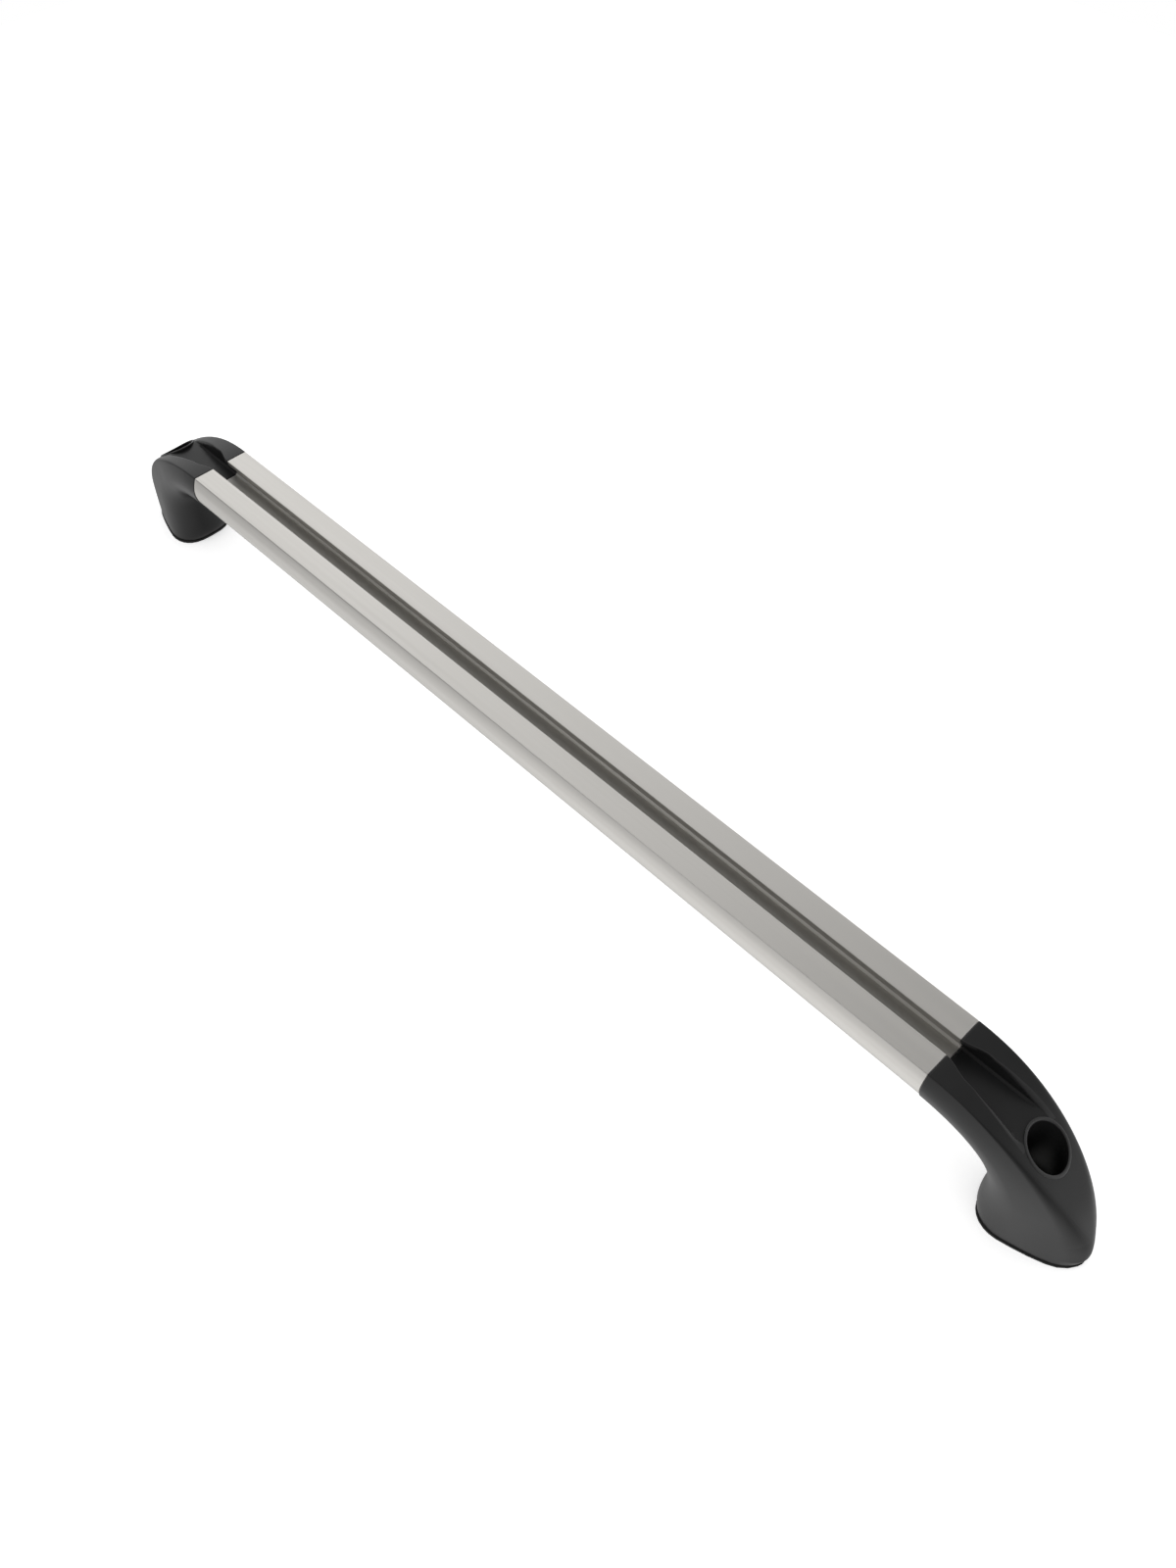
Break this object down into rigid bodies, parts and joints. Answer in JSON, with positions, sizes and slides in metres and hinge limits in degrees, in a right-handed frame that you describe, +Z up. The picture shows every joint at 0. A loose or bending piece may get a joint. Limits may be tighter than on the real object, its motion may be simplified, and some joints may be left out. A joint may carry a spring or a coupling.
{
  "type": "grab rail",
  "caption": "Screw-down grab rail: a slotted aluminium grip profile held clear of its mounting surface by curved moulded end feet with recessed bolt wells.",
  "frame": {"origin": "middle of the rail's length and width, on the mounting surface under the two feet", "axes": "+X along the rail towards the right foot, +Y across the rail, +Z up and away from the mounting surface; the slot opens towards +Z"},
  "size_m": [0.598, 0.0348, 0.066],
  "materials": {
    "anodised_aluminium": "satin clear anodised",
    "moulded_plastic": "fine-grained satin moulding, charcoal",
    "seal_rubber": "matte",
    "sleeve_steel": "turned, zinc plated",
    "screw_steel": "stainless, plain"
  },
  "bodies": {
    "root": {"rail_profile": "anodised_aluminium", "left_foot": "moulded_plastic", "right_foot": "moulded_plastic", "left_base_seal": "seal_rubber", "right_base_seal": "seal_rubber", "left_bolt_sleeve": "sleeve_steel", "right_bolt_sleeve": "sleeve_steel", "left_inner_screw": "screw_steel", "left_outer_screw": "screw_steel", "right_inner_screw": "screw_steel", "right_outer_screw": "screw_steel"}
  },
  "joints": []
}
